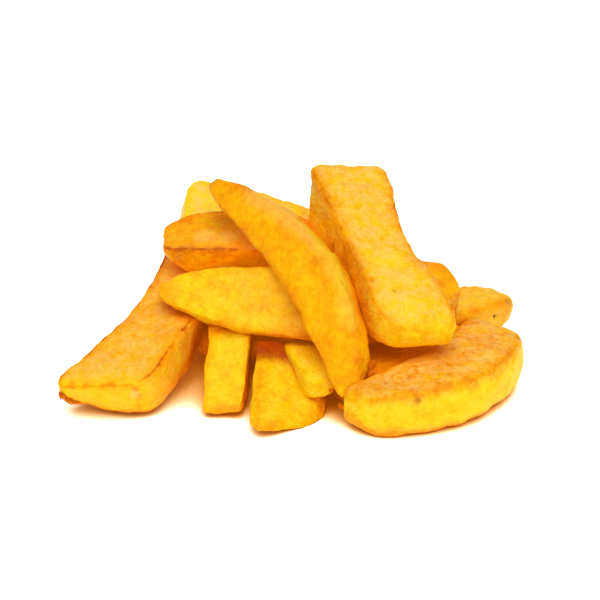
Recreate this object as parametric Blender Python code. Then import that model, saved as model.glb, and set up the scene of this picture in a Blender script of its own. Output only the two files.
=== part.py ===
"""A loose heap of thick-cut potato chips, fused into one solid just as it lies.

The sizes below are in millimetres. X runs to the right, Y to the back and Z up.
The table is the plane Z = 0. A chip is given by the middle of its near end and
of its far end, and by its width and thickness near, halfway and far. It tapers
and rounds off at both ends, and bends sideways or upwards like the wedge of a
potato. Where a chip would dip into the table it is flat.
"""
import math

import bmesh
import bpy
from mathutils import Matrix, Vector

MM = 0.001

# The middle of the heap's box, which becomes the origin
HEAP_MIDDLE = Vector((1.9, 10.8, 0.0))

# How finely a chip is cut up, and how square its section is: 1 is an ellipse, 0 a box
RINGS = 12
SIDES = 12
SECTION_POWER = 0.5

# What a chip is unless its own line says otherwise
PLAIN_CHIP = dict(
    roll=0.0,                  # degrees about its own length
    bend=(0.0, 0.0),           # sideways and upwards, at its middle
    bend_shift=0.0,            # moves the bend to the near end, or if negative to the far end
    ends=((5, 0.6), (5, 0.6)),       # length of the taper in width, and the share that is left
    lips=((4, 0.6), (4, 0.6)),       # the same in thickness
    slant=(0.0, 0.0),          # how far an end is cut off sideways
    rake=(0.0, 0.0),           # how far an end leans back
)

# The chips that show
SHOWN_CHIPS = {
    "left_slab": dict(near=(-54.5, -33, 6.2), far=(-27, 34, 24), width=(30, 21, 24), thick=(15.5, 15, 14),
                      bend=(4.5, 0), ends=((8, 0.62), (8, 0.6)), lips=((4, 0.7), (5, 0.6)), slant=(0.33, 0)),
    "upper_left": dict(near=(-38.5, 15, 34.5), far=(8, 19, 31), width=(18, 22, 18), thick=(10, 14, 13),
                       roll=-14, ends=((8, 0.45), (8, 0.5))),
    "back_left": dict(near=(-34.5, 36, 36), far=(16, 37, 22), width=(22, 24, 22), thick=(16, 16, 15), roll=-20),
    "boat": dict(near=(-41, -3, 27.5), far=(30, -8, 22), width=(16, 23, 20), thick=(8, 12, 12), roll=-54,
                 ends=((30, 0.12), (8, 0.5))),
    "top_crescent": dict(near=(18, -30, 10), far=(-24.5, 22, 52), width=(12, 17, 7), thick=(9, 13, 7), roll=60,
                         bend=(10.5, 2.5), bend_shift=0.2, ends=((12, 0.5), (14, 0.4))),
    "tall_slab": dict(near=(38, -26, 24), far=(17.5, 34, 49), width=(30, 20.5, 26), thick=(17, 16, 15),
                      bend=(-3, 0), bend_shift=-0.3, ends=((7, 0.6), (6, 0.75)), slant=(-0.1, -0.25)),
    "front_crescent": dict(near=(17, -39, 6.5), far=(64, 1, 8), width=(14, 25, 26), thick=(14, 16, 17),
                           bend=(10.5, 0), ends=((8, 0.5), (12, 0.5))),
    "right_rear": dict(near=(12, -4, 7), far=(68, 24.5, 7.2), width=(20, 22, 13), thick=(14.5, 15, 15),
                       ends=((5, 0.6), (4, 0.7))),
    "right_upper": dict(near=(48.5, 2, 22.5), far=(15, 30, 23), width=(17, 20, 20), thick=(15, 16, 15)),
    "under_slab": dict(near=(17, -25, 6.3), far=(49, 8, 6.6), width=(18, 20, 20), thick=(13.5, 14, 14)),
    "front_stub": dict(near=(-18.7, -22, 9.3), far=(-16, 24, 5.7), width=(13.5, 13, 12), thick=(20.5, 14, 12),
                       rake=(0.75, 0), ends=((2, 0.85), (5, 0.6)), lips=((3, 0.85), (4, 0.6))),
    "front_middle": dict(near=(1.5, -39, 6.1), far=(0, 5, 5.2), width=(23, 22, 20), thick=(13, 12.5, 11), roll=-8,
                         slant=(0.3, 0), ends=((3, 0.75), (5, 0.6)), lips=((3, 0.7), (4, 0.6))),
    "front_slim": dict(near=(10.5, -35, 9.5), far=(-3, 8, 12), width=(12, 13, 12), thick=(12, 13, 13)),
}

# The chips at the back and inside, which carry the others
BEARING_CHIPS = {
    "rear_floor_left": dict(near=(-35, 46, 6.5), far=(27, 54, 6.5), width=(22, 24, 22), thick=(13.5, 14, 13.5)),
    "rear_floor_right": dict(near=(44, 38, 6.5), far=(2, 31, 6.5), width=(20, 22, 20), thick=(13.5, 14, 14)),
    "rear_upper": dict(near=(-34, 50, 20), far=(12, 56, 20), width=(20, 22, 20), thick=(14, 15, 14), roll=6),
    "rear_prop": dict(near=(24, 62, 20), far=(14, 27, 35), width=(20, 22, 20), thick=(14, 14, 13)),
    "inner_floor": dict(near=(-37, 22, 6.5), far=(14, 12, 6.5), width=(18, 20, 20), thick=(13.5, 14, 14)),
}

# The lump inside that closes the gaps between them
CORE_MIDDLE = Vector((0, 12, 10))
CORE_RADII = (34, 24, 13)
CORE_FINENESS = 3

CHIP_COLOUR = (0.83, 0.45, 0.05, 1.0)
CHIP_ROUGHNESS = 0.45


def between(values, along):
    """A smooth curve through the near, middle and far value; along runs from 0 to 1."""
    near, middle, far = values
    return near * (1 - along) * (1 - 2 * along) + middle * 4 * along * (1 - along) + far * along * (2 * along - 1)


def tapered(distance, taper):
    """The share of the full size that is left at this distance from an end."""
    length, share = taper
    if distance >= length:
        return 1.0
    return share + (1 - share) * (1 - (1 - distance / length) ** 2.2) ** 0.625


def rounded(value):
    """Squares off the sine or cosine that draws a cross section."""
    return math.copysign(abs(value) ** SECTION_POWER, value)


def chip_axes(near, far, roll):
    """The directions along a chip, across it and out of its broad face."""
    along = (far - near).normalized()
    across = along.cross(Vector((0, 0, 1))).normalized()
    out = across.cross(along)
    turn = Matrix.Rotation(math.radians(-roll), 3, along)
    return along, turn @ across, turn @ out


def chip_ring(chip, share):
    """The corners of the cross section at this share of a chip's length."""
    near, far = Vector(chip["near"]), Vector(chip["far"])
    length = (far - near).length
    along, across, out = chip_axes(near, far, chip["roll"])
    near_way, far_way = share * length, (1 - share) * length
    half_width = between(chip["width"], share) / 2
    half_width *= tapered(near_way, chip["ends"][0]) * tapered(far_way, chip["ends"][1])
    half_thick = between(chip["thick"], share) / 2
    half_thick *= tapered(near_way, chip["lips"][0]) * tapered(far_way, chip["lips"][1])
    arch = 4 * share * (1 - share) * (1 + chip["bend_shift"] * (1 - 2 * share))
    middle = near.lerp(far, share) + (across * chip["bend"][0] + out * chip["bend"][1]) * arch
    slant = chip["slant"][0] * (1 - share) ** 2 + chip["slant"][1] * share ** 2
    rake = chip["rake"][0] * (1 - share) ** 2 + chip["rake"][1] * share ** 2
    ring = []
    for side in range(SIDES):
        angle = 2 * math.pi * (side + 0.5) / SIDES
        x = rounded(math.cos(angle)) * half_width
        z = rounded(math.sin(angle)) * half_thick
        corner = middle + across * x + out * z + along * (slant * x + rake * z)
        corner.z = max(corner.z, 0.0)
        ring.append((corner - HEAP_MIDDLE) * MM)
    return ring


def chip_object(name, settings, collection):
    """One chip as a closed skin round its cross sections."""
    chip = {**PLAIN_CHIP, **settings}
    mesh = bmesh.new()
    rings = []
    for number in range(RINGS):
        share = 0.5 - 0.5 * math.cos(math.pi * number / (RINGS - 1))
        rings.append([mesh.verts.new(corner) for corner in chip_ring(chip, share)])
    for lower, upper in zip(rings, rings[1:]):
        for side in range(SIDES):
            after = (side + 1) % SIDES
            mesh.faces.new((lower[side], upper[side], upper[after], lower[after]))
    mesh.faces.new(rings[0])
    mesh.faces.new(reversed(rings[-1]))
    return finished_object(name, mesh, collection)


def core_object(collection):
    """The lump inside the heap, cut flat by the table."""
    mesh = bmesh.new()
    bmesh.ops.create_icosphere(mesh, subdivisions=CORE_FINENESS, radius=1.0)
    for corner in mesh.verts:
        corner.co = Vector(size * part for size, part in zip(CORE_RADII, corner.co)) + CORE_MIDDLE - HEAP_MIDDLE
    bmesh.ops.bisect_plane(mesh, geom=mesh.verts[:] + mesh.edges[:] + mesh.faces[:],
                           plane_co=(0, 0, 0), plane_no=(0, 0, -1), clear_outer=True)
    bmesh.ops.holes_fill(mesh, edges=[edge for edge in mesh.edges if edge.is_boundary])
    bmesh.ops.scale(mesh, vec=(MM, MM, MM), verts=mesh.verts)
    return finished_object("core", mesh, collection)


def finished_object(name, mesh, collection):
    """An object in the collection, made of this mesh with its faces in triangles and pointing out."""
    bmesh.ops.triangulate(mesh, faces=mesh.faces)
    bmesh.ops.recalc_face_normals(mesh, faces=mesh.faces)
    data = bpy.data.meshes.new(name)
    mesh.to_mesh(data)
    mesh.free()
    piece = bpy.data.objects.new(name, data)
    collection.objects.link(piece)
    return piece


def keep_outer_skin(piece):
    """Keeps the largest skin of a mesh, which fills sealed hollows and drops scraps."""
    mesh = bmesh.new()
    mesh.from_mesh(piece.data)
    waiting = set(mesh.verts)
    skins = []
    while waiting:
        skin = {waiting.pop()}
        edge_of_skin = list(skin)
        while edge_of_skin:
            corner = edge_of_skin.pop()
            for edge in corner.link_edges:
                other = edge.other_vert(corner)
                if other not in skin:
                    skin.add(other)
                    edge_of_skin.append(other)
        waiting -= skin
        skins.append(skin)
    outer = max(skins, key=len)
    bmesh.ops.delete(mesh, geom=[corner for corner in mesh.verts if corner not in outer], context="VERTS")
    mesh.to_mesh(piece.data)
    mesh.free()


def fuse(base, collection):
    """Joins the collection's objects to the base object, then removes them."""
    union = base.modifiers.new("fuse", "BOOLEAN")
    union.operation = "UNION"
    union.operand_type = "COLLECTION"
    union.collection = collection
    union.solver = "EXACT"
    bpy.context.view_layer.objects.active = base
    bpy.ops.object.modifier_apply(modifier=union.name)
    for piece in list(collection.objects):
        bpy.data.objects.remove(piece)
    bpy.data.collections.remove(collection)
    keep_outer_skin(base)


def chip_material():
    """Golden fried potato."""
    material = bpy.data.materials.new("fried_potato")
    material.use_nodes = True
    shader = material.node_tree.nodes["Principled BSDF"]
    shader.inputs["Base Color"].default_value = CHIP_COLOUR
    shader.inputs["Roughness"].default_value = CHIP_ROUGHNESS
    shader.inputs["Metallic"].default_value = 0.0
    return material


def build():
    """The whole heap as one object."""
    for piece in list(bpy.data.objects):
        bpy.data.objects.remove(piece)
    others = bpy.data.collections.new("chips")
    bpy.context.scene.collection.children.link(others)
    for name, settings in {**SHOWN_CHIPS, **BEARING_CHIPS}.items():
        chip_object(name, settings, others)
    heap = core_object(bpy.context.scene.collection)
    fuse(heap, others)
    heap.name = "fries"
    heap.data.name = "fries"
    heap.data.materials.append(chip_material())


build()
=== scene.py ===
# %% [markdown]
# # A heap of thick-cut chips
#
# This lesson models and shades a small heap of fried potato chips that lie
# across each other on a white table. The heap's solid is one fused lump, which
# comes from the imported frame. Here each chip is modelled again as a separate
# piece of potato in the same place, with the soft corners, sunken faces and
# golden crust of the real thing.

# %% Load the frame
import math

import bmesh
import bpy
from mathutils import Matrix, Vector


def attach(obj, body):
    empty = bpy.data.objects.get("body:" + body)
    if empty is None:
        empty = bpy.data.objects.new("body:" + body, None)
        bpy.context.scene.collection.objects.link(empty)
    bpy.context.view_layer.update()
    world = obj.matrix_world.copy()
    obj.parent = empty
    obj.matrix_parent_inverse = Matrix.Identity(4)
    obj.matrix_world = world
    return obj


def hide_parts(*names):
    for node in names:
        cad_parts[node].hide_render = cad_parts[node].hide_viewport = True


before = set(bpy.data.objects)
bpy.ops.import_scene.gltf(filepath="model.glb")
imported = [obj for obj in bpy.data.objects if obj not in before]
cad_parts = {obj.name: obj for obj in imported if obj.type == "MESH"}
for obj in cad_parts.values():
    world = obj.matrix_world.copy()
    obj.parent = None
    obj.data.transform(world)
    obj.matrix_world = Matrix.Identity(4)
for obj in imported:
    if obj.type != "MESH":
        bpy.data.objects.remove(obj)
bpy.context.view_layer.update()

# %% [markdown]
# ## Millimetres, and where the heap's middle is
#
# Blender works in metres, but a chip is easier to think of in millimetres. So
# every length below is in millimetres, with X to the right, Y to the back, Z up
# and the table at zero, and it is turned into metres when a chip is laid down.
# The heap was laid out round another point first. HEAP_MIDDLE is where its
# middle came out, and is taken off, so that it stands on the origin.

# %% Units and the heap's middle
MM = 0.001
HEAP_MIDDLE = Vector((1.9, 10.8, 0.0))
TO_HEAP = Matrix.Diagonal((MM, MM, MM, 1)) @ Matrix.Translation(-HEAP_MIDDLE)
print("one millimetre is", MM, "Blender units")

# %% [markdown]
# ## What one chip is
#
# A thick-cut chip is a stick of potato with four long faces and two cut ends.
# It could be a box with rounded edges, but no two real ones are alike: they
# taper, bend, twist and shrink unevenly in the hot fat. So a chip is given by
# the middle of its near end and of its far end, by its width and thickness near,
# halfway and far, and by a few habits, listed here with their usual values.

# %% The habits of a plain chip
PLAIN_CHIP = dict(
    roll=0.0,                    # degrees that it is turned about its own length
    bend=(0.0, 0.0),             # how far its middle bows sideways, and out of its broad face
    bend_shift=0.0,              # above zero, the bow is strongest near the near end
    ends=((5, 0.6), (5, 0.6)),   # how its width tapers at each end: over what length, to what share
    lips=((4, 0.6), (4, 0.6)),   # the same for its thickness
    slant=(0.0, 0.0),            # how far each end is cut off sideways
    rake=(0.0, 0.0),             # how far each end leans back
    hollow=(0.07, 0.06),         # how far its broad faces, and its sides, have sunk in
    support=(0.72, 0.66),        # where the loops beside its edges run: nearer 1 is a sharper edge
    corner=0.93,                 # how far out the edges themselves stay
    wobble=0.55,                 # how unevenly it was cut
    nudges=(),                   # spots on it that are pulled out of shape: where, how far round, which way
)
print("a plain chip has", len(PLAIN_CHIP), "habits")

# %% [markdown]
# ## The blank
#
# Every chip starts from the same blank: a cube from -1 to 1, cut across into
# rings that crowd towards both ends, where the shape changes fastest, and cut
# lengthwise by loops that run beside its edges. When the blank is smoothed
# later, an edge with a loop close beside it stays crisp, and a wide gap rounds
# it off. Bisecting at a plane makes such a loop without needing a window.

# %% Cut the blank
RINGS = 13
SNAP = 1e-5     # a cut this close to a corner goes through it


def ring_share(number):
    """How far along the chip a ring lies, from 0 to 1."""
    return 0.5 - 0.5 * math.cos(math.pi * number / (RINGS - 1))


def cut_blank(name, support):
    """A cube with rings across it and loops beside its edges, left in edit mode."""
    bpy.ops.object.select_all(action="DESELECT")
    bpy.ops.mesh.primitive_cube_add(size=2, location=(0, 0, 0))
    chip = bpy.context.active_object
    chip.name = name
    chip.data.name = name
    bpy.ops.object.mode_set(mode="EDIT")
    bpy.ops.mesh.select_mode(type="VERT")
    cuts = [((2 * ring_share(number) - 1, 0, 0), (1, 0, 0)) for number in range(1, RINGS - 1)]
    for side in (-1, 1):
        cuts.append(((0, side * support[0], 0), (0, 1, 0)))
        cuts.append(((0, 0, side * support[1]), (0, 0, 1)))
    for place, normal in cuts:
        bpy.ops.mesh.select_all(action="SELECT")
        bpy.ops.mesh.bisect(plane_co=place, plane_no=normal, threshold=SNAP)
    return chip


print("a blank has", RINGS, "rings")

# %% [markdown]
# ## Picking corners in code
#
# In a window one would click on corners. In code, a corner is picked by its
# place: a rule is asked of each corner of the mesh, and those that fit are
# selected, ready for the next operator.

# %% Helpers that pick
def only(piece):
    """Selects this object alone and makes it active."""
    bpy.ops.object.select_all(action="DESELECT")
    piece.select_set(True)
    bpy.context.view_layer.objects.active = piece


def corners_where(piece, rule):
    """The numbers of the corners whose place fits the rule, in edit mode."""
    mesh = bmesh.from_edit_mesh(piece.data)
    return [corner.index for corner in mesh.verts if rule(corner.co)]


def pick(piece, numbers):
    """Selects the corners with these numbers and nothing else, in edit mode."""
    bpy.ops.mesh.select_all(action="DESELECT")
    mesh = bmesh.from_edit_mesh(piece.data)
    mesh.verts.ensure_lookup_table()
    for number in numbers:
        mesh.verts[number].select_set(True)
    mesh.select_flush(True)
    bmesh.update_edit_mesh(piece.data)


# %% [markdown]
# ## Sunken faces and drawn-in edges
#
# Potato loses water as it fries, most of all from the middle of its faces. The
# faces sink a little between the edges, and the edges draw in and round off.
# Scaling the corners of the blank towards its long axis does both.

# %% Sink the faces
ON_FACE = 0.95      # a corner is on a face of the blank when it is this far out
END_FACE = 0.97     # on an end when it is this far along
IN_FACE = 0.85      # and clear of a face's edges when it is less far out than this sideways


def sink_faces(chip, hollow, corner):
    """Draws the four long edges in, then sinks the broad faces and the sides."""
    pick(chip, corners_where(chip, lambda co: abs(co.y) > ON_FACE and abs(co.z) > ON_FACE))
    bpy.ops.transform.resize(value=(1, corner, corner), center_override=(0, 0, 0))
    inner = lambda out, side, co: abs(out) > ON_FACE and abs(side) < IN_FACE and abs(co.x) < END_FACE
    pick(chip, corners_where(chip, lambda co: inner(co.z, co.y, co)))
    bpy.ops.transform.resize(value=(1, 1, 1 - hollow[0]), center_override=(0, 0, 0))
    pick(chip, corners_where(chip, lambda co: inner(co.y, co.z, co)))
    bpy.ops.transform.resize(value=(1, 1 - hollow[1], 1), center_override=(0, 0, 0))


# %% [markdown]
# ## Rings at their real size
#
# Each ring is now scaled to the chip's real width and thickness at that place,
# and moved onto the bow. The width follows a smooth curve through its three
# given values. Towards a tip it falls off as the side of an ellipse does, which
# gives the soft nose of a fried end. A slanting or leaning end is made by
# sliding corners along the chip, by how far out they lie.

# %% Shape the rings
NOSE, ROUNDING = 2.2, 0.625    # the powers of a tip's curve: 2 and 0.5 would be an ellipse
SAME_RING = 1e-4    # corners this close lengthwise lie on one ring


def between(values, share):
    """A smooth curve through the near, middle and far value."""
    near, middle, far = values
    return (near * (1 - share) * (1 - 2 * share) + middle * 4 * share * (1 - share)
            + far * share * (2 * share - 1))


def tapered(distance, taper):
    """The share of the full size that is left at this distance from a tip."""
    length, share = taper
    if distance >= length:
        return 1.0
    return share + (1 - share) * (1 - (1 - distance / length) ** NOSE) ** ROUNDING


def half_sizes(habits, length, share):
    """Half the width and half the thickness at this share of the length."""
    width, thick = between(habits["width"], share), between(habits["thick"], share)
    for end, way in enumerate((share * length, (1 - share) * length)):
        width *= tapered(way, habits["ends"][end])
        thick *= tapered(way, habits["lips"][end])
    return width / 2, thick / 2


def lean_ring(chip, numbers, middle, slant, rake):
    """Slides a ring's corners along the chip, by how far out they lie."""
    mesh = bmesh.from_edit_mesh(chip.data)
    mesh.verts.ensure_lookup_table()
    for number in numbers:
        place = mesh.verts[number].co
        place.x += slant * (place.y - middle.y) + rake * (place.z - middle.z)
    bmesh.update_edit_mesh(chip.data)


def shape_rings(chip, habits, length):
    """Gives each ring its size and its place on the bow."""
    rings = []
    for number in range(RINGS):
        x = 2 * ring_share(number) - 1
        rings.append((ring_share(number), x, corners_where(chip, lambda co: abs(co.x - x) < SAME_RING)))
    for share, x, numbers in rings:
        half_width, half_thick = half_sizes(habits, length, share)
        arch = 4 * share * (1 - share) * (1 + habits["bend_shift"] * (1 - 2 * share))
        middle = Vector((share * length, habits["bend"][0] * arch, habits["bend"][1] * arch))
        pick(chip, numbers)
        bpy.ops.transform.resize(value=(1, half_width, half_thick), center_override=(x, 0, 0))
        bpy.ops.transform.translate(value=middle - Vector((x, 0, 0)))
        near_part, far_part = (1 - share) ** 2, share ** 2
        slant = habits["slant"][0] * near_part + habits["slant"][1] * far_part
        rake = habits["rake"][0] * near_part + habits["rake"][1] * far_part
        lean_ring(chip, numbers, middle, slant, rake)


# %% [markdown]
# ## Pull a corner out of shape
#
# Some chips have a corner that is cut off or drawn out. Proportional editing
# moves one corner of the mesh and takes its neighbours along, less and less with
# the distance, as when soft potato is pressed with a thumb.

# %% Nudge a spot
def nudge(chip, spot, reach, move):
    """Moves the corner nearest to a spot, and what is round it, in edit mode."""
    mesh = bmesh.from_edit_mesh(chip.data)
    nearest = min(mesh.verts, key=lambda corner: (corner.co - Vector(spot)).length)
    pick(chip, [nearest.index])
    bpy.ops.transform.translate(value=move, use_proportional_edit=True,
                                proportional_edit_falloff="SMOOTH", proportional_size=reach)
    bpy.context.scene.tool_settings.use_proportional_edit = False


# %% [markdown]
# ## Remember how far the edges are
#
# A fried edge is darker than the face beside it, so the finish has to know how
# far each spot is from the edges. A pattern in space can't know that. So each
# corner of the blank stores three depths in millimetres, measured in from the
# ends, the sides and the broad faces, and its share of the way from the near
# end to the far one, as a chip is seldom fried alike at both. Smoothing carries
# them along. The middle one of the depths is the distance to the nearest edge.

# %% Store the depths
def note_depths(chip, habits, length):
    """Stores how deep each corner lies below the ends, sides and broad faces, and how far along."""
    bpy.ops.object.mode_set(mode="OBJECT")
    chip.data.attributes.new("depths", "FLOAT_VECTOR", "POINT")
    chip.data.attributes.new("along", "FLOAT", "POINT")
    depths, along = chip.data.attributes["depths"], chip.data.attributes["along"]
    for corner in chip.data.vertices:
        x, y, z = corner.co
        half_width, half_thick = half_sizes(habits, length, (x + 1) / 2)
        deep = ((1 - abs(x)) * length / 2, (1 - abs(y)) * half_width, (1 - abs(z)) * half_thick)
        depths.data[corner.index].vector = deep
        along.data[corner.index].value = (x + 1) / 2
    bpy.ops.object.mode_set(mode="EDIT")


# %% [markdown]
# ## Smooth it, lay it down, make it uneven
#
# Three levels of subdivision turn the blank into a soft stick of potato. It is
# then turned from its own axes to its place in the heap, and two cloud textures
# push its skin in and out, one for broad lumps and one for small dents. The
# textures run through the whole heap, so no two chips get the same ones. What
# dips below the table is pressed flat, as a chip flattens where it rests.

# %% Finish the shape
SMOOTHING = 3    # levels of subdivision
LUMPS, LUMP_SIZE = 2.2, 13    # millimetres in and out, and across
DENTS, DENT_SIZE = 1.1, 3.6


def clouds(name, size, depth):
    """A cloud texture with swellings of about this many millimetres."""
    texture = bpy.data.textures.new(name, "CLOUDS")
    texture.noise_scale = size * MM
    texture.noise_depth = depth
    return texture


lumps = clouds("lumps", LUMP_SIZE, 1)
dents = clouds("dents", DENT_SIZE, 3)


def smooth(piece, levels):
    """Rounds a piece off."""
    only(piece)
    smoother = piece.modifiers.new("smoothing", "SUBSURF")
    smoother.levels = levels
    smoother.render_levels = levels
    bpy.ops.object.modifier_apply(modifier=smoother.name)
    bpy.ops.object.shade_smooth()


def swell(piece, texture, strength):
    """Pushes the skin in and out by up to half this many millimetres."""
    only(piece)
    relief = piece.modifiers.new(texture.name, "DISPLACE")
    relief.texture = texture
    relief.texture_coords = "LOCAL"
    relief.strength = strength * MM
    relief.mid_level = 0.5
    bpy.ops.object.modifier_apply(modifier=relief.name)


def place_piece(piece, matrix):
    """Moves a piece and puts the move into its mesh."""
    piece.matrix_world = matrix
    only(piece)
    bpy.ops.object.transform_apply(location=True, rotation=True, scale=True)


def stand_on_table(piece):
    """Turns every face outwards, and presses flat whatever dips below the table."""
    only(piece)
    bpy.ops.object.mode_set(mode="EDIT")
    bpy.ops.mesh.select_all(action="SELECT")
    bpy.ops.mesh.normals_make_consistent(inside=False)
    if bmesh.from_edit_mesh(piece.data).calc_volume(signed=True) < 0:
        bpy.ops.mesh.flip_normals()
    pick(piece, corners_where(piece, lambda co: co.z < 0.0))
    bpy.ops.transform.resize(value=(1, 1, 0), center_override=(0, 0, 0))
    bpy.ops.object.mode_set(mode="OBJECT")


def chip_axes(near, far, roll):
    """The directions along a chip, across it and out of its broad face."""
    along = (far - near).normalized()
    across = along.cross(Vector((0, 0, 1))).normalized()
    out = across.cross(along)
    turn = Matrix.Rotation(math.radians(-roll), 3, along)
    return along, turn @ across, turn @ out


# %% [markdown]
# ## One chip, start to finish
#
# This puts the steps together. The seed shifts corners of the blank at random by
# a few tenths of a millimetre, as a knife that doesn't run quite true. With a
# fixed seed it does so in the same way on every run.

# %% Cut a chip
def cut_chip(name, seed, **own):
    """Makes one chip in its place in the heap."""
    habits = {**PLAIN_CHIP, **own}
    near, far = Vector(habits["near"]), Vector(habits["far"])
    length = (far - near).length
    chip = cut_blank(name, habits["support"])
    note_depths(chip, habits, length)
    sink_faces(chip, habits["hollow"], habits["corner"])
    shape_rings(chip, habits, length)
    for spot, reach, move in habits["nudges"]:
        nudge(chip, spot, reach, move)
    bpy.ops.mesh.select_all(action="SELECT")
    bpy.ops.transform.vertex_random(offset=habits["wobble"], uniform=1.0, normal=0.0, seed=seed)
    bpy.ops.mesh.normals_make_consistent(inside=False)
    bpy.ops.object.mode_set(mode="OBJECT")
    smooth(chip, SMOOTHING)
    axes = Matrix(chip_axes(near, far, habits["roll"])).transposed().to_4x4()
    place_piece(chip, TO_HEAP @ Matrix.Translation(near) @ axes)
    swell(chip, lumps, LUMPS)
    swell(chip, dents, DENTS)
    stand_on_table(chip)
    return chip


# %% [markdown]
# ## The finish, part one: small helpers for node trees
#
# Fried potato is not one colour. The finish is built from a few node groups,
# each for one thing that frying does, so that every chip can use them with its
# own values. These helpers keep the wiring short.

# %% Node helpers
COLOR_A, COLOR_B, MIXED = 6, 7, 2     # a Mix node's colour sockets, which share their names with others


def new_group(name, inputs, outputs):
    """A node group with these sockets, and its inner input and output nodes."""
    tree = bpy.data.node_groups.new(name, "ShaderNodeTree")
    for socket, kind, value in inputs:
        made = tree.interface.new_socket(socket, in_out="INPUT", socket_type="NodeSocket" + kind)
        made.default_value = value
    for socket, kind in outputs:
        tree.interface.new_socket(socket, in_out="OUTPUT", socket_type="NodeSocket" + kind)
    group_in, group_out = tree.nodes.new("NodeGroupInput"), tree.nodes.new("NodeGroupOutput")
    return tree, group_in.outputs, group_out.inputs


def put(tree, socket, value):
    """Links a socket to another, or sets it to a plain value."""
    if isinstance(value, bpy.types.NodeSocket):
        tree.links.new(value, socket)
    else:
        socket.default_value = value


def maths(tree, operation, first, second):
    """One sum of two values."""
    node = tree.nodes.new("ShaderNodeMath")
    node.operation = operation
    put(tree, node.inputs[0], first)
    put(tree, node.inputs[1], second)
    return node.outputs["Value"]


def weigh(tree, *parts):
    """Adds values up, each times its own share."""
    total = None
    for value, share in parts:
        part = maths(tree, "MULTIPLY", value, share)
        total = part if total is None else maths(tree, "ADD", total, part)
    return total


def raise_by(tree, level, value, share):
    """Adds a value, times its share, to a level."""
    return maths(tree, "ADD", level, maths(tree, "MULTIPLY", value, share))


def ease(tree, value, start, end, low=0.0, high=1.0):
    """Goes smoothly from low to high as the value goes from start to end."""
    node = tree.nodes.new("ShaderNodeMapRange")
    node.interpolation_type = "SMOOTHSTEP"
    put(tree, node.inputs["Value"], value)
    put(tree, node.inputs["From Min"], start)
    put(tree, node.inputs["From Max"], end)
    put(tree, node.inputs["To Min"], low)
    put(tree, node.inputs["To Max"], high)
    return node.outputs["Result"]


def blend(tree, mask, first, second):
    """Goes from the first colour to the second by a mask."""
    node = tree.nodes.new("ShaderNodeMix")
    node.data_type = "RGBA"
    put(tree, node.inputs["Factor"], mask)
    put(tree, node.inputs[COLOR_A], first)
    put(tree, node.inputs[COLOR_B], second)
    return node.outputs[MIXED]


def noise(tree, place, spot, detail, distortion=0.0):
    """Cloudy noise, with spots of about this many millimetres."""
    node = tree.nodes.new("ShaderNodeTexNoise")
    node.inputs["Scale"].default_value = 1 / (spot * MM)
    node.inputs["Detail"].default_value = detail
    node.inputs["Distortion"].default_value = distortion
    put(tree, node.inputs["Vector"], place)
    return node.outputs["Fac"]


def place_on_object(tree):
    """The place on the object, in metres."""
    return tree.nodes.new("ShaderNodeTexCoord").outputs["Object"]


# %% [markdown]
# ## The finish, part two: mottling and pores
#
# The faces are mottled, but only faintly: broad patches took a little more or
# less colour, and finer ones inside them look dry and creamy or clear and
# yellow. The skin is rough, with small pores. All of it comes from cloudy noise
# of four sizes. A pattern with cells, such as Voronoi, looks too even here.

# %% Mottling and pores
PATCH_SIZE, DRY_SIZE, SPOT_SIZE, GRAIN_SIZE = 7, 3, 2.2, 1.1    # millimetres
DRY_FROM, DRY_FULL = 0.37, 0.64    # where the noise starts and ends to look dry

mottling, _, mottle_out = new_group(
    "fried_mottling", [], [("Tone", "Float"), ("Dryness", "Float"), ("Height", "Float")])
skin_place = place_on_object(mottling)
patches = noise(mottling, skin_place, PATCH_SIZE, 3.0, 0.1)
spots = noise(mottling, skin_place, SPOT_SIZE, 4.0, 0.2)
grain = noise(mottling, skin_place, GRAIN_SIZE, 2.0)
dry_patches = noise(mottling, skin_place, DRY_SIZE, 4.0, 0.2)
dryness = weigh(mottling, (dry_patches, 0.65), (grain, 0.35))
put(mottling, mottle_out["Tone"], weigh(mottling, (patches, 0.50), (spots, 0.36), (grain, 0.14)))
put(mottling, mottle_out["Dryness"], ease(mottling, dryness, DRY_FROM, DRY_FULL))
put(mottling, mottle_out["Height"], weigh(mottling, (spots, 0.6), (grain, 0.4)))
print("mottling:", len(mottling.nodes), "nodes")

# %% [markdown]
# ## The finish, part three: edges, ends and broad faces
#
# Thin places fry first. The depths that each chip stores give a soft rim along
# its edges with a thin line in it, and one mask for its ends and one for its
# broad faces. The soft rim is partly fried crust and partly painted shade along
# each chip's outline. Fine noise is added to the distance of the line, so that it
# thins out and breaks off.

# %% Edges, ends and broad faces
BREAK_SIZE = 3.5    # spots of the noise that breaks the line up, in millimetres
LINE_BREAKS, BORDER_WAVES = 3.0, 1.6    # how far it shifts the line and the other borders
LINE_REACH, RIM_REACH = 0.6, 3.6    # how wide each is, in reaches
LINE_FULL = -0.3    # the shifted distance at which the line is full
END_BORDER = (5.0, 0.5)    # how deep the mask of the ends starts, and is full
BROAD_BORDER = (4.5, 0.2)    # the same for the broad faces

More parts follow.
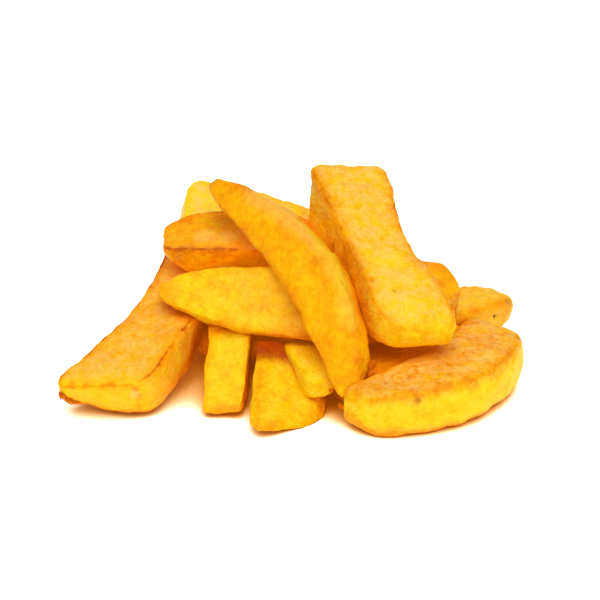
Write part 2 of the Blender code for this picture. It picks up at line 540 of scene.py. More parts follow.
edges, edge_in, edge_out = new_group(
    "fried_edges", [("Reach", "Float", 1.5)],
    [("Line", "Float"), ("Rim", "Float"), ("Ends", "Float"), ("Broad", "Float"), ("Along", "Float")])
stored = edges.nodes.new("ShaderNodeAttribute")
stored.attribute_name = "depths"
parts = edges.nodes.new("ShaderNodeSeparateXYZ")
put(edges, parts.inputs["Vector"], stored.outputs["Vector"])
lengthwise, sideways, inwards = (parts.outputs[axis] for axis in "XYZ")
smaller = maths(edges, "MINIMUM", sideways, inwards)
larger = maths(edges, "MAXIMUM", sideways, inwards)
to_edge = maths(edges, "MAXIMUM", smaller, maths(edges, "MINIMUM", larger, lengthwise))
uneven = maths(edges, "SUBTRACT", noise(edges, place_on_object(edges), BREAK_SIZE, 4.0, 0.2), 0.5)
broken = raise_by(edges, to_edge, uneven, LINE_BREAKS)
line_width = maths(edges, "MULTIPLY", edge_in["Reach"], LINE_REACH)
put(edges, edge_out["Line"], ease(edges, broken, line_width, LINE_FULL))
wavy = maths(edges, "MULTIPLY", uneven, BORDER_WAVES)
rim_width = maths(edges, "MULTIPLY", edge_in["Reach"], RIM_REACH)
# the soft rim: partly fried crust, partly painted shade along the outline
put(edges, edge_out["Rim"], ease(edges, maths(edges, "ADD", to_edge, wavy), rim_width, 0.0))
put(edges, edge_out["Ends"], ease(edges, maths(edges, "ADD", lengthwise, wavy), *END_BORDER))
put(edges, edge_out["Broad"], ease(edges, maths(edges, "ADD", inwards, wavy), *BROAD_BORDER))
way_along = edges.nodes.new("ShaderNodeAttribute")
way_along.attribute_name = "along"
put(edges, edge_out["Along"], way_along.outputs["Fac"])
print("edges:", len(edges.nodes), "nodes")

# %% [markdown]
# ## The finish, part four: marks
#
# A few spots stand out: a brown streak, a dark pit, a pale fleck where the crust
# came off. A mark has a place, a radius, a colour and a ragged border. A brown
# one is sunk in. Some marks are painted shade, sheen or highlight instead.

# %% Marks
RAGGED_SIZE = 1.6    # spots of the noise that frays a mark, in millimetres
RAGGED_BY = 3 * MM    # how far it moves the mark's border
MARK_BORDER = (1.0, 0.35)    # where a mark starts and is full, in radii

marks, mark_in, mark_out = new_group(
    "skin_mark",
    [("Color", "Color", (1, 1, 1, 1)), ("Height", "Float", 0.5), ("Place", "Vector", (0, 0, 0)),
     ("Radius", "Float", MM), ("Tint", "Color", (0.3, 0.08, 0.01, 1)), ("Strength", "Float", 0.7),
     ("Dent", "Float", 0.6)],
    [("Color", "Color"), ("Height", "Float")])
mark_place = place_on_object(marks)
away = marks.nodes.new("ShaderNodeVectorMath")
away.operation = "DISTANCE"
put(marks, away.inputs[0], mark_place)
put(marks, away.inputs[1], mark_in["Place"])
ragged = maths(marks, "SUBTRACT", noise(marks, mark_place, RAGGED_SIZE, 3.0, 1.0), 0.5)
ragged = maths(marks, "DIVIDE", maths(marks, "MULTIPLY", ragged, RAGGED_BY), mark_in["Radius"])
reach = maths(marks, "DIVIDE", away.outputs["Value"], mark_in["Radius"])
reach = maths(marks, "ADD", reach, ragged)
caught = maths(marks, "MULTIPLY", ease(marks, reach, *MARK_BORDER), mark_in["Strength"])
sunk = maths(marks, "MULTIPLY", caught, mark_in["Dent"])
put(marks, mark_out["Color"], blend(marks, caught, mark_in["Color"], mark_in["Tint"]))
put(marks, mark_out["Height"], maths(marks, "SUBTRACT", mark_in["Height"], sunk))
print("mark:", len(marks.nodes), "nodes")

# %% [markdown]
# ## The finish, part five: one scale of frying
#
# As it fries, potato goes from cream through yellow and amber to brown. So one
# number says how far a spot has gone, and a colour ramp turns it into a colour.
# A chip has a level of its own, and may gain towards its far end. The mottling
# shifts it a little, edges raise it, and the ends, which are fresh cuts, lower
# it. On top comes a pale film, most of all on the broad faces, which is what
# takes the glow off them: partly a dry, floury crust and partly a painted sheen.
# In the gaps the colour deepens in three steps of painted shade.

# %% Colours of the crust
FRYING = ((0.00, (0.84, 0.60, 0.025, 1)), (0.22, (0.84, 0.54, 0.002, 1)), (0.42, (0.81, 0.41, 0.001, 1)),
          (0.60, (0.78, 0.29, 0.001, 1)), (0.80, (0.60, 0.15, 0.001, 1)), (1.00, (0.16, 0.030, 0.001, 1)))
MOST_FRIED = 0.86    # no face goes further than this
RIM_SHARE, LINE_SHARE = 0.75, 0.25   # how the rim and the line make up an edge
# partly a dry, floury film and partly a painted sheen, palest on the broad faces
FILM_AND_SHEEN = (0.82, 0.52, 0.13, 1)
FILM_AND_SHEEN_OFF = (0.9, 0.1)    # how strong an edge is where the film is gone, and where it is whole
# painted shade: the gaps between chips are painted amber, then red-brown, then darker still
PAINTED_NOOK_SHADE = (0.72, 0.23, 0.002, 1)
PAINTED_DEEPER_SHADE = (0.46, 0.06, 0.001, 1)
PAINTED_DEEPEST_SHADE = (0.22, 0.012, 0.001, 1)
# painted glow: the gaps give off a little orange light of their own
GLOW = (0.12, 0.028, 0.0, 1)
NO_GLOW = (0, 0, 0, 1)
PAINTED_NOOK_SHADE_OPEN, PAINTED_DEEPER_SHADE_OPEN = (0.58, 0.16), (0.34, 0.10)    # how open a spot is where each starts, and is full
PAINTED_DEEPEST_SHADE_OPEN, GLOW_OPEN = (0.14, 0.02), (0.80, 0.30)
ROUGHNESS = (0.34, 0.48)    # of moist and of dry crust

crust, crust_in, crust_out = new_group(
    "crust_colour",
    [("Tone", "Float", 0.5), ("Dryness", "Float", 0.5), ("Line", "Float", 0.0), ("Rim", "Float", 0.0),
     ("Ends", "Float", 0.0), ("Broad", "Float", 0.0), ("Openness", "Float", 1.0), ("Fried", "Float", 0.4),
     ("Along", "Float", 0.0), ("Far", "Float", 0.0), ("Fresh", "Float", 0.12), ("Face", "Float", 0.0),
     ("Mottle", "Float", 0.6), ("Crisp", "Float", 0.3), ("Ridge", "Float", 0.0), ("Shade", "Float", 1.0),
     # the Film inputs set the dry film together with its painted sheen
     ("Film", "Float", 0.1), ("Face Film", "Float", 0.1)],
    [("Color", "Color"), ("Roughness", "Float"), ("Glow", "Color")])
level = maths(crust, "MULTIPLY", maths(crust, "SUBTRACT", 0.5, crust_in["Tone"]), crust_in["Mottle"])
level = maths(crust, "ADD", level, crust_in["Fried"])
level = raise_by(crust, level, crust_in["Along"], crust_in["Far"])
level = raise_by(crust, level, crust_in["Broad"], crust_in["Face"])
level = maths(crust, "SUBTRACT", level, maths(crust, "MULTIPLY", crust_in["Ends"], crust_in["Fresh"]))
edge_level = weigh(crust, (crust_in["Rim"], RIM_SHARE), (crust_in["Line"], LINE_SHARE))
level = raise_by(crust, level, edge_level, crust_in["Crisp"])
level = raise_by(crust, level, crust_in["Line"], crust_in["Ridge"])
level = maths(crust, "MINIMUM", level, MOST_FRIED)
frying = crust.nodes.new("ShaderNodeValToRGB")
while len(frying.color_ramp.elements) < len(FRYING):
    frying.color_ramp.elements.new(0.5)
for stop, (place, stop_colour) in zip(frying.color_ramp.elements, FRYING):
    stop.position = place
    stop.color = stop_colour
put(crust, frying.inputs["Fac"], level)
print("crust:", len(crust.nodes), "nodes for the scale of frying")

# %% Film, gaps and glow
# the film: partly dry crust, partly painted sheen, strongest on the broad faces
film_and_sheen = raise_by(crust, crust_in["Film"], crust_in["Broad"], crust_in["Face Film"])
film_and_sheen = maths(crust, "MULTIPLY", film_and_sheen, crust_in["Dryness"])
film_and_sheen = maths(crust, "MULTIPLY", film_and_sheen, ease(crust, edge_level, *FILM_AND_SHEEN_OFF))
colour = blend(crust, film_and_sheen, frying.outputs["Color"], FILM_AND_SHEEN)
openness = crust_in["Openness"]
# painted shade, in three steps, where other chips close round a spot
for opening, gap_colour in ((PAINTED_NOOK_SHADE_OPEN, PAINTED_NOOK_SHADE), (PAINTED_DEEPER_SHADE_OPEN, PAINTED_DEEPER_SHADE)):
    shaded = maths(crust, "MULTIPLY", ease(crust, openness, *opening), crust_in["Shade"])
    colour = blend(crust, shaded, colour, gap_colour)
colour = blend(crust, ease(crust, openness, *PAINTED_DEEPEST_SHADE_OPEN), colour, PAINTED_DEEPEST_SHADE)
put(crust, crust_out["Color"], colour)
put(crust, crust_out["Glow"], blend(crust, ease(crust, openness, *GLOW_OPEN), NO_GLOW, GLOW))
put(crust, crust_out["Roughness"], ease(crust, crust_in["Dryness"], 0.0, 1.0, *ROUGHNESS))
print("crust:", len(crust.nodes), "nodes")

# %% [markdown]
# ## The finish, part six: one material a chip
#
# Each chip gets a material of its own, which places the shared groups and gives
# them this chip's values. Light goes a few millimetres into potato and comes out
# warmer, so the shader scatters it below the surface, red furthest. Between
# chips the shade is painted: the gaps are painted amber, red-brown further in,
# and they have a painted glow. How open a spot is comes from a node that looks
# round it. The painted glow stands for light that comes through from the far
# side of a chip.

# %% Tints of the marks, and groups in a material
BURNT = (0.14, 0.03, 0.002, 1)
BROWNED = (0.50, 0.13, 0.001, 1)
# painted shade, laid where another chip shades this one
PAINTED_SHADE_TINT = (0.34, 0.035, 0.001, 1)
TINGED = (0.78, 0.28, 0.002, 1)
CREAM = (0.95, 0.60, 0.13, 1)
STRAW = (0.95, 0.68, 0.05, 1)


def marks_along(places, radius, strength, tint):
    """Equal marks at each of these places."""
    return [(place, radius, strength, tint) for place in places]


def use_group(tree, group, **values):
    """Places a group in a material and fills its inputs."""
    node = tree.nodes.new("ShaderNodeGroup")
    node.node_tree = group
    for name, value in values.items():
        put(tree, node.inputs[name.replace("_", " ")], value)
    return node.outputs


def how_open(tree, distance):
    """How open a spot is, as far round it as this many millimetres."""
    open_air = tree.nodes.new("ShaderNodeAmbientOcclusion")
    open_air.samples = 8
    open_air.inputs["Distance"].default_value = distance * MM
    return open_air.outputs["AO"]


print("a mark has one of", len((BURNT, BROWNED, PAINTED_SHADE_TINT, TINGED, CREAM, STRAW)), "tints")

# %% The material of a chip
GAP_SIZE = 18    # as far as this many millimetres, other chips shade a spot
SUNKEN = 0.6    # how deep a brown mark goes
PORES = 0.8    # how strong the relief of the skin is, and how deep in millimetres
OILY = 0.06    # how much the crust mirrors
BELOW_SKIN = 0.4    # the share of light that goes into the potato
SCATTER = (1.0, 0.35, 0.05)    # how far red, green and blue get, as shares of
SCATTER_SCALE = 2.5 * MM    # this distance


def fried_potato(name, fried=0.4, far=0.0, face=0.0, fresh=0.12, mottle=1.05, crisp=0.3, ridge=0.0,
                 shade=1.0, film_and_sheen=0.0, face_film_and_sheen=0.0, reach=1.5, glow=1.0, spots=()):
    """Fried potato that has gone this far."""
    material = bpy.data.materials.new(name)
    material.use_nodes = True
    tree = material.node_tree
    shader = tree.nodes["Principled BSDF"]
    skin = use_group(tree, mottling)
    edge = use_group(tree, edges, Reach=reach)
    edge_masks = {mask: edge[mask] for mask in ("Line", "Rim", "Ends", "Broad", "Along")}
    look = use_group(tree, crust, Tone=skin["Tone"], Dryness=skin["Dryness"], Openness=how_open(tree, GAP_SIZE),
                     Fried=fried, Far=far, Face=face, Fresh=fresh, Mottle=mottle, Crisp=crisp, Ridge=ridge,
                     Shade=shade, Film=film_and_sheen, Face_Film=face_film_and_sheen, **edge_masks)
    colour, height = look["Color"], skin["Height"]
    for place, radius, strength, tint in spots:
        mark = use_group(tree, marks, Color=colour, Height=height, Place=TO_HEAP @ Vector(place),
                         Radius=radius * MM, Strength=strength, Tint=tint,
                         Dent=SUNKEN if tint in (BURNT, BROWNED) else 0.0)
        colour, height = mark["Color"], mark["Height"]
    bump = tree.nodes.new("ShaderNodeBump")
    bump.inputs["Strength"].default_value = PORES
    bump.inputs["Distance"].default_value = PORES * MM
    put(tree, bump.inputs["Height"], height)
    put(tree, shader.inputs["Base Color"], colour)
    put(tree, shader.inputs["Roughness"], look["Roughness"])
    put(tree, shader.inputs["Normal"], bump.outputs["Normal"])
    # the painted glow, which lights the gaps as if light came through the chips
    put(tree, shader.inputs["Emission Color"], look["Glow"])
    shader.inputs["Emission Strength"].default_value = glow
    shader.inputs["Specular IOR Level"].default_value = OILY
    shader.inputs["Subsurface Weight"].default_value = BELOW_SKIN
    shader.inputs["Subsurface Radius"].default_value = SCATTER
    shader.inputs["Subsurface Scale"].default_value = SCATTER_SCALE
    return material


def hand_over(piece, material):
    """Finishes a piece: its material, the body it rides on, and the solid it stands for."""
    piece.data.materials.clear()
    piece.data.materials.append(material)
    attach(piece, "root")
    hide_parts("fries")
    print(piece.name, "has", len(piece.data.polygons), "faces")


# %% [markdown]
# ## The bottom layer
#
# Chips that lie on the table come first, as when a heap is tipped out. One
# curves round the front, and the ends of three more show between it and the
# slab on the left. Of the next ones, one lies in the shade of the pile and one
# shows its end at the far right. The other three are only seen from the sides
# and the back.

# %% Front chips on the table
chip = cut_chip("front_crescent", 1, near=(17, -39, 6.8), far=(63.4, 3, 8.3), width=(14, 24.5, 23.5),
                thick=(14.5, 16.5, 17), bend=(9.3, 0), ends=((9, 0.45), (10, 0.5)), lips=((6, 0.5), (7, 0.5)),
                support=(0.56, 0.42), corner=0.88, hollow=(0.05, -0.02))
hand_over(chip, fried_potato(
    "front_crescent_crust", fried=0.22, face=0.33, mottle=1.3, crisp=0.05, shade=0.5, film_and_sheen=0.08, face_film_and_sheen=0.5,
    spots=(((36.0, -42.0, 12.3), 2.0, 0.5, BROWNED), ((36.4, -42.0, 12.0), 0.8, 0.5, BURNT),
           ((47.3, -17.9, 15.8), 2.0, 0.4, BROWNED), ((47.9, -21.8, 15.6), 4.5, 0.4, TINGED),
           ((55.8, -15.2, 15.7), 5.0, 0.4, TINGED))))

chip = cut_chip("front_stub", 2, near=(-18.7, -20.9, 10.2), far=(-16, 24, 5.7), width=(13.5, 13, 12),
                thick=(22.5, 14, 12), rake=(1.1, 0), ends=((3, 0.8), (5, 0.6)), lips=((4, 0.8), (4, 0.6)))
hand_over(chip, fried_potato(
    "front_stub_crust", fried=0.06, crisp=0.50, film_and_sheen=0.25,
    spots=marks_along(((-19.0, -31.5, 1.5), (-14.0, -31.5, 1.5)), 5.0, 0.8, TINGED)))

chip = cut_chip("front_middle", 3, near=(0.3, -27, 8.0), far=(0, 12, 5.2), width=(24, 22, 20), thick=(18, 13, 11),
                roll=-8, slant=(0.3, 0), rake=(1.85, 0), ends=((3, 0.78), (5, 0.6)), lips=((2.5, 0.85), (4, 0.6)),
                nudges=(((-12, 11, -8), 14, (5.5, -0.5, 0)),))
# Dark marks on its top are painted shade, under the boat that lies just above.
hand_over(chip, fried_potato(
    "front_middle_crust", fried=0.24, crisp=0.40, film_and_sheen=0.15,
    spots=marks_along(((-9, -14.5, 15.5), (-1, -14, 15), (8, -13, 14)), 9, 0.95, PAINTED_SHADE_TINT)))

chip = cut_chip("front_slim", 4, near=(9.5, -29.2, 8.9), far=(-3, 10, 11), width=(11.5, 13, 12), thick=(9, 12, 13),
                ends=((9, 0.4), (5, 0.6)), lips=((8, 0.42), (4, 0.6)), support=(0.6, 0.55))
hand_over(chip, fried_potato("front_slim_crust", fried=0.02, crisp=0.36, shade=0.1, film_and_sheen=0.25))

# %% More chips on the table
chip = cut_chip("under_slab", 5, near=(17, -25, 6.3), far=(49, 8, 6.6), width=(18, 20, 20), thick=(13.5, 14, 14))
hand_over(chip, fried_potato("under_slab_crust", fried=0.50, crisp=0.2))

chip = cut_chip("right_rear", 6, near=(12, -4, 7), far=(68, 24.5, 10.2), width=(20, 22, 14),
                thick=(14.5, 14.5, 9.5), ends=((5, 0.6), (8, 0.5)), lips=((4, 0.6), (8, 0.5)), support=(0.58, 0.52))
hand_over(chip, fried_potato(
    "right_rear_crust", fried=0.34, mottle=0.9, crisp=0.24, film_and_sheen=0.3,
    spots=(((63.0, 12.7, 11.3), 1.0, 1.0, BURNT), ((67.9, 23.5, 13.8), 2.6, 0.7, TINGED),
           ((68.2, 18.4, 13.4), 2.4, 0.55, BROWNED), ((67.6, 15.8, 11.4), 2.4, 0.6, TINGED))))

chip = cut_chip("rear_floor_left", 7, near=(-35, 46, 6.5), far=(27, 54, 6.5), width=(22, 24, 22),
                thick=(13.5, 14, 13.5), bend=(3, 0), ends=((7, 0.5), (9, 0.5)), lips=((6, 0.5), (8, 0.45)),
                support=(0.6, 0.5), corner=0.9)
hand_over(chip, fried_potato("rear_floor_left_crust", fried=0.28, face=0.1, film_and_sheen=0.15, face_film_and_sheen=0.3))

chip = cut_chip("rear_floor_right", 8, near=(44, 38, 6.5), far=(2, 31, 6.5), width=(20, 22, 20),
                thick=(13.5, 14, 14), bend=(2, 0), ends=((7, 0.55), (5, 0.6)), lips=((6, 0.5), (4, 0.6)),
                support=(0.6, 0.5), corner=0.9)
hand_over(chip, fried_potato("rear_floor_right_crust", fried=0.34, fresh=0.2, film_and_sheen=0.2))

chip = cut_chip("inner_floor", 9, near=(-37, 22, 6.5), far=(14, 12, 6.5), width=(18, 20, 20), thick=(13.5, 14, 14))
hand_over(chip, fried_potato("inner_floor_crust", fried=0.50))

# %% [markdown]
# ## The left side
#
# A broad slab slopes up from the table, waisted in the middle. A darker chip
# with a hollowed top and crisp rims lies over its upper end, a pale one behind
# it, and a pale boat-shaped one with a long thin tip leans in front.

# %% Chips on the left
chip = cut_chip("left_slab", 10, near=(-54.3, -31.8, 6.5), far=(-27, 34, 24), width=(29.5, 20.5, 24),
                thick=(15.5, 15, 14), bend=(4.5, 0), ends=((6, 0.68), (8, 0.6)), lips=((3.5, 0.72), (5, 0.6)),
                slant=(0.33, 0), support=(0.76, 0.72), hollow=(0.09, -0.02), nudges=(((0, -9, -5), 9, (4, 0, 2)),))
hand_over(chip, fried_potato(
    "left_slab_crust", fried=0.28, far=0.14, face=0.06, fresh=0.2, mottle=0.7, crisp=0.28, ridge=0.24,
    face_film_and_sheen=0.65, spots=(((-44.3, -32.7, 9.0), 2.2, 0.6, CREAM),)))

chip = cut_chip("upper_left", 11, near=(-38.6, 16, 35.2), far=(8, 19, 31), width=(18, 22, 18), thick=(6, 14, 13),
                roll=-14, ends=((10, 0.45), (8, 0.5)), lips=((10, 0.4), (4, 0.6)), hollow=(0.34, 0.05),
                support=(0.8, 0.72))
# A strong painted glow lights up its shaded front.
hand_over(chip, fried_potato(
    "upper_left_crust", fried=0.22, face=0.20, mottle=1.1, crisp=0.34, ridge=0.28, shade=0.2, reach=0.9, glow=2.6,
    spots=(*marks_along(((-37.0, 21.0, 38.2), (-37.6, 16.5, 37.2), (-36.8, 12.5, 36.4)), 3.0, 0.7, TINGED),
           ((-26.0, 14.8, 37.4), 4.5, 0.35, CREAM), ((-19.5, 14.0, 37.3), 4.5, 0.3, CREAM))))

chip = cut_chip("back_left", 12, near=(-34.5, 36, 36), far=(16, 37, 20.5), width=(22, 24, 22), thick=(16, 16, 15),
                roll=-20)
hand_over(chip, fried_potato("back_left_crust", fried=0.05, far=0.22, mottle=0.6, crisp=0.30, film_and_sheen=0.9))

chip = cut_chip("boat", 13, near=(-39, -3, 27.3), far=(30, -8, 21.6), width=(15, 21.5, 20), thick=(8, 12, 12),
                roll=-54, ends=((30, 0.14), (8, 0.5)), support=(0.75, 0.6))
hand_over(chip, fried_potato("boat_crust", fried=-0.04, far=0.54, mottle=1.2, crisp=0.42, film_and_sheen=0.22,
                             spots=(((-37.5, -4.0, 27.5), 9.0, 0.6, TINGED),)))

# %% [markdown]
# ## The top and the right side
#
# The biggest slab stands on the pile at the right, wide at both ends. A long
# curved chip crosses the heap in front of it, thick in the middle and nearly
# pointed at the top. Rows of faint marks that overlap paint a sheen and a
# highlight along this one's side, and paint shade on the slab where the two lie
# close.

# %% The long curved chip on top
# painted sheen and painted highlight along the long curved chip's side
PAINTED_SHEEN_BAND = ((-10.6, 8.8, 53.6), (-7.6, 6.2, 52.9), (-4.4, 3.0, 52.0), (-1.0, 0.0, 50.8), (2.0, -2.8, 49.6),
             (4.9, -5.2, 48.2), (7.6, -6.8, 46.2))
PAINTED_HIGHLIGHT_BAND = ((10.4, -9.0, 43.6), (13.3, -14.2, 40.2), (15.5, -17.1, 36.4), (16.8, -22.9, 33.6),
              (17.6, -25.8, 30.3))

chip = cut_chip("top_crescent", 14, near=(18.2, -32.5, 8.8), far=(-22.8, 22, 51.6), width=(12, 17, 7),
                thick=(9, 13, 7), roll=51, bend=(10, 2.5), bend_shift=0.2, ends=((12, 0.5), (14, 0.4)),
                support=(0.54, 0.48), corner=0.88)
hand_over(chip, fried_potato(
    "top_crescent_crust", fried=0.41, far=0.03, mottle=0.95, crisp=0.2, shade=0.8,
    spots=(*marks_along(PAINTED_SHEEN_BAND, 5.0, 0.2, CREAM), *marks_along(PAINTED_HIGHLIGHT_BAND, 5.5, 0.3, STRAW),
           ((-23.6, 20.6, 52.0), 2.2, 0.5, BROWNED))))

# %% Chips on the right
# painted shade on the slab's side, where the long curved chip lies close
PAINTED_SHADE_SIDE = ((16.4, -4.0, 39.3), (18.3, -9.0, 37.1), (19.7, -13.1, 34.5), (21.0, -18.1, 32.5),
               (21.9, -20.3, 29.1), (22.7, -21.9, 25.4))

chip = cut_chip("tall_slab", 15, near=(37.8, -26, 23.2), far=(19.0, 30.3, 47.8), width=(31, 21.5, 29),
                thick=(17.5, 16, 15), bend=(-3, 0), bend_shift=-0.3, ends=((12, 0.45), (9, 0.6)),
                lips=((14, 0.36), (4, 0.6)), slant=(-0.25, -0.2), rake=(0, 0.7), support=(0.56, 0.44), corner=0.88,
                nudges=(((67, -9, 5), 9, (0.5, -3, 1.5)), ((54, -14, -8), 15, (0, -3.5, 0))))
# A strong painted glow lights up its shaded side.
hand_over(chip, fried_potato(
    "tall_slab_crust", fried=0.22, far=0.12, face=0.06, fresh=0.2, mottle=0.9, crisp=0.32, shade=0.35, glow=2.0,
    film_and_sheen=0.15, face_film_and_sheen=0.45,
    spots=(*marks_along(PAINTED_SHADE_SIDE, 5.0, 0.4, PAINTED_SHADE_TINT), ((10.5, 14.2, 43.3), 1.2, 0.7, BROWNED),
           ((30.1, -19.6, 35.7), 1.1, 0.6, BROWNED), ((23.6, -16.1, 37.2), 1.0, 0.6, BROWNED))))

chip = cut_chip("right_upper", 16, near=(48.2, 1, 19.5), far=(15, 30, 24.5), width=(17, 19, 20), thick=(14, 14, 15),
                ends=((8, 0.5), (5, 0.6)), lips=((5, 0.55), (4, 0.6)), nudges=(((9, 7, 6), 6, (0, -1, 3)),))
hand_over(chip, fried_potato(
    "right_upper_crust", fried=0.38, mottle=0.9, crisp=0.36, ridge=0.1,
    spots=(((46.8, 12.4, 28.5), 6.0, 0.6, TINGED), ((43.0, 14.0, 29.5), 4.5, 0.5, TINGED))))

# %% Chips at the back of the pile
chip = cut_chip("rear_upper", 17, near=(-34, 50, 20), far=(12, 56, 20), width=(20, 22, 20), thick=(14, 15, 14),
                roll=6, bend=(-2.5, 0), ends=((9, 0.45), (7, 0.5)), lips=((7, 0.45), (6, 0.5)),
                support=(0.58, 0.48), corner=0.9)
hand_over(chip, fried_potato("rear_upper_crust", fried=0.34, far=0.1, face=0.08, face_film_and_sheen=0.35))

chip = cut_chip("rear_prop", 18, near=(24, 62, 20), far=(14, 27, 35), width=(20, 22, 20), thick=(14, 14, 13),
                ends=((8, 0.5), (6, 0.6)), lips=((6, 0.5), (4, 0.6)), support=(0.6, 0.5), corner=0.9)
hand_over(chip, fried_potato("rear_prop_crust", fried=0.30, far=0.1, fresh=0.2, face_film_and_sheen=0.4))

# %% [markdown]
# ## The lump inside
#
# Between the chips, the solid has a lump that stands for what can't be seen. The
# same lump is here, of the same potato, so that no gap shows right through.

# %% The lump
CORE_MIDDLE = Vector((0, 12, 10))
CORE_RADII = (34, 24, 13)
CORE_LUMPS = 4

bpy.ops.object.select_all(action="DESELECT")
bpy.ops.mesh.primitive_ico_sphere_add(subdivisions=5, radius=1)
core = bpy.context.active_object
core.name = "core"
place_piece(core, TO_HEAP @ Matrix.Translation(CORE_MIDDLE) @ Matrix.Diagonal((*CORE_RADII, 1)))
swell(core, lumps, CORE_LUMPS)
stand_on_table(core)
bpy.ops.object.shade_smooth()
hand_over(core, fried_potato("core_crust", fried=0.55))

# %% [markdown]
# ## Crumbs and crisp scraps
#
# Scraps of crust break off and stick where they land: a ragged nub on the left
# slab's corner, a splinter on the long curved chip, dark crumbs where two chips
# meet. One scrap is modelled and copied, and each copy is stretched and turned
# in its own way. In the end they are joined, as they are all the same stuff.

# %% The scrap that is copied
SCRAP_JITTER = 0.4      # how far its corners are shifted, as a share of its half width

bpy.ops.object.select_all(action="DESELECT")
bpy.ops.mesh.primitive_cube_add(size=2, location=(0, 0, 0))
scrap = bpy.context.active_object
scrap.name = "scrap"
bpy.ops.object.mode_set(mode="EDIT")
bpy.ops.mesh.subdivide(number_cuts=2)
bpy.ops.mesh.select_all(action="SELECT")
bpy.ops.transform.vertex_random(offset=SCRAP_JITTER, uniform=1.0, normal=0.0, seed=5)
bpy.ops.object.mode_set(mode="OBJECT")
smooth(scrap, 1)
print("a scrap has", len(scrap.data.polygons), "faces")

# %% Crumbs
CRUMBS = (      # where each is, its half sizes, and how far it is turned, in degrees
    ((-64.9, -30.4, 7.6), (1.5, 1.0, 0.8), 20), ((-63.9, -29.6, 5.9), (1.4, 0.9, 0.8), 75),
    ((-61.9, -29.4, 4.6), (1.2, 0.8, 0.6), 165), ((12.4, -5.2, 42.6), (0.45, 0.4, 1.7), 30),
    ((23.2, -30.0, 13.4), (0.8, 0.7, 1.6), 50), ((23.8, -28.4, 16.2), (0.7, 0.6, 1.3), 110),
    ((22.4, -31.4, 10.6), (0.8, 0.7, 1.1), 160), ((8.0, -32.2, 7.0), (0.7, 0.5, 0.5), 60),
    ((11.8, -31.6, 9.6), (0.6, 0.6, 0.4), 15), ((14.6, -33.4, 5.5), (1.0, 0.7, 0.6), 95),
)

copies = []
for place, radii, turn in CRUMBS:
    copy = scrap.copy()
    copy.data = scrap.data.copy()
    bpy.context.collection.objects.link(copy)
    spin = Matrix.Rotation(math.radians(turn), 4, "Z") @ Matrix.Rotation(math.radians(turn / 4), 4, "X")
    place_piece(copy, TO_HEAP @ Matrix.Translation(place) @ spin @ Matrix.Diagonal((*radii, 1)))
    stand_on_table(copy)
    copies.append(copy)
bpy.data.objects.remove(scrap, do_unlink=True)
only(copies[0])
for copy in copies:
    copy.select_set(True)
bpy.ops.object.join()
crumbs = bpy.context.active_object
crumbs.name = "crumbs"
hand_over(crumbs, fried_potato("crumb_crust", fried=0.9, crisp=0.0, shade=0.3, fresh=0.0))

# %% [markdown]
# ## The table
#
# The table is plain white and almost matt. It shines a little by itself, as a
# light table does, which keeps the shadows pale and lights the chips from below.
# In the gaps between chips, the light that reaches it has been through potato,
# so it turns orange there. It isn't part of the object.
# In the gaps that orange is painted shade, in the table's colour and in its shine.

# %% The table
TABLE_WIDTH = 6    # metres
BELOW_CHIPS = 0.2 * MM    # so that its face and theirs don't fight
TABLE_WHITE = (0.95, 0.95, 0.95, 1)
# painted shade on the table: orange near the chips and deeper in the gaps
TABLE_PAINTED_SHADE = (0.86, 0.50, 0.12, 1)
TABLE_PAINTED_GAP_SHADE = (0.62, 0.24, 0.01, 1)
TABLE_SHINE = (0.90, 0.86, 0.58, 1)
SHINE_IN_PAINTED_SHADE = (0.76, 0.46, 0.10, 1)
SHINE_IN_PAINTED_GAP_SHADE = (0.2, 0.05, 0.0, 1)
SHINE_STRENGTH = 0.6
HEAP_SIZE = 60    # as far as this many millimetres, the heap shades the table
WARM_OPEN, GAP_OPEN = (0.50, 0.32), (0.36, 0.12)     # how open it is where each starts, and is full

bpy.ops.object.select_all(action="DESELECT")
bpy.ops.mesh.primitive_plane_add(size=TABLE_WIDTH, location=(0, 0, -BELOW_CHIPS))
table = bpy.context.active_object
table.name = "table"
bpy.ops.object.transform_apply(location=True, rotation=True, scale=True)
white = bpy.data.materials.new("white_table")
white.use_nodes = True
matt = white.node_tree.nodes["Principled BSDF"]
matt.inputs["Roughness"].default_value = 0.9
matt.inputs["Specular IOR Level"].default_value = 0.1
matt.inputs["Emission Strength"].default_value = SHINE_STRENGTH
openness = how_open(white.node_tree, HEAP_SIZE)
near_chips = ease(white.node_tree, openness, *WARM_OPEN)
gap = ease(white.node_tree, openness, *GAP_OPEN)
# painted shade: the table's colour and shine turn orange and darker near and between the chips
for socket, plain, warmer, deepest in (("Base Color", TABLE_WHITE, TABLE_PAINTED_SHADE, TABLE_PAINTED_GAP_SHADE),
                                       ("Emission Color", TABLE_SHINE, SHINE_IN_PAINTED_SHADE, SHINE_IN_PAINTED_GAP_SHADE)):
    warmed = blend(white.node_tree, near_chips, plain, warmer)
    put(white.node_tree, matt.inputs[socket], blend(white.node_tree, gap, warmed, deepest))
table.data.materials.append(white)
print("the table is", table.dimensions.x, "metres wide")

# %% [markdown]
# ## The light
#
# The heap is lit as in a white tent: a broad soft light from in front and above,
# and white all round. A sun lamp with a wide angle lights the table evenly, which
# a lamp nearby would not, so the table stays white to its edges. The white walls
# aren't mirrored in the crust, as that would make the yellow chalky. A low panel
# behind the heap is, and gives the upper faces their faint oily sheen.

# %% The white walls
WALLS, WALLS_MIRRORED = 0.4, -0.34      # how bright they are, and what is taken off where they are mirrored

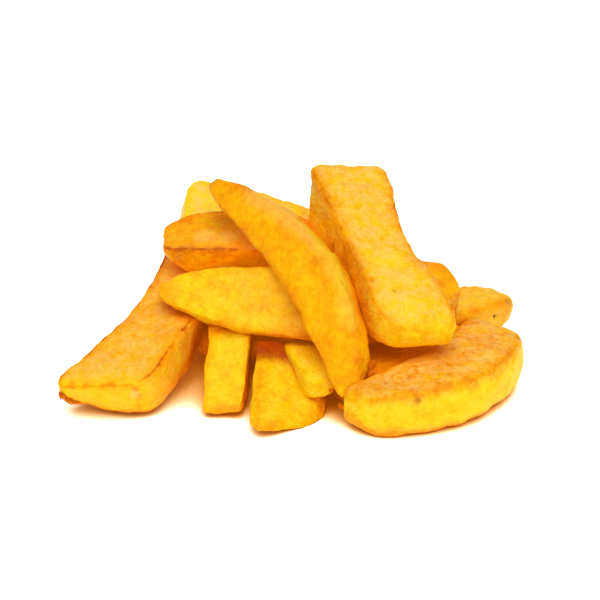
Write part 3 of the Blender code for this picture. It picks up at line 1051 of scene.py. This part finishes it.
world = bpy.data.worlds.new("white_tent")
bpy.context.scene.world = world
world.use_nodes = True
walls = world.node_tree.nodes["Background"]
walls.inputs["Color"].default_value = (1, 1, 1, 1)
rays = world.node_tree.nodes.new("ShaderNodeLightPath")
mirrored = maths(world.node_tree, "MULTIPLY", rays.outputs["Is Glossy Ray"], WALLS_MIRRORED)
put(world.node_tree, walls.inputs["Strength"], maths(world.node_tree, "ADD", mirrored, WALLS))
print("the white walls are lit with", WALLS)

# %% The lamps
SUN_STRENGTH, SUN_WIDTH = 2.6, math.radians(50)
SUN_TURN = (math.radians(25), 0, math.radians(8))
PANEL_STRENGTH, PANEL_COLOUR = 1.3, (1.0, 0.86, 0.62)
PANEL_SIZE = (0.9, 0.45)    # metres
PANEL_TURN = (math.radians(-62), 0, math.radians(8))

bpy.ops.object.light_add(type="SUN", location=(0.1, -0.7, 0.7))
key = bpy.context.active_object
key.name = "soft_light"
key.data.energy = SUN_STRENGTH
key.data.angle = SUN_WIDTH
key.rotation_euler = SUN_TURN
bpy.ops.object.light_add(type="AREA", location=(-0.1, 0.75, 0.42))
sheen = bpy.context.active_object
sheen.name = "sheen_light"
sheen.data.shape = "RECTANGLE"
sheen.data.size, sheen.data.size_y = PANEL_SIZE
sheen.data.energy = PANEL_STRENGTH
sheen.data.color = PANEL_COLOUR
sheen.rotation_euler = PANEL_TURN
print("light strengths:", key.data.energy, sheen.data.energy)

# %% [markdown]
# ## The camera
#
# The camera looks down at the heap by 26 degrees, as the photo does, from half a
# metre away. Colours are shown as they are, with no film look, so that white
# stays white.

# %% The camera
LOOK_AT = Vector((1.0, -10.8, 23.0)) * MM
ELEVATION = math.radians(26)
DISTANCE = 0.5    # metres
LENS, SENSOR = 100, 36  # millimetres

bpy.ops.object.camera_add()
camera = bpy.context.active_object
camera.location = LOOK_AT + DISTANCE * Vector((0, -math.cos(ELEVATION), math.sin(ELEVATION)))
camera.rotation_euler = (math.pi / 2 - ELEVATION, 0, 0)
camera.data.lens = LENS
camera.data.sensor_width = SENSOR
camera.data.clip_start = 0.01
bpy.context.scene.camera = camera
bpy.context.scene.view_settings.view_transform = "Standard"
print("camera at", tuple(camera.location))
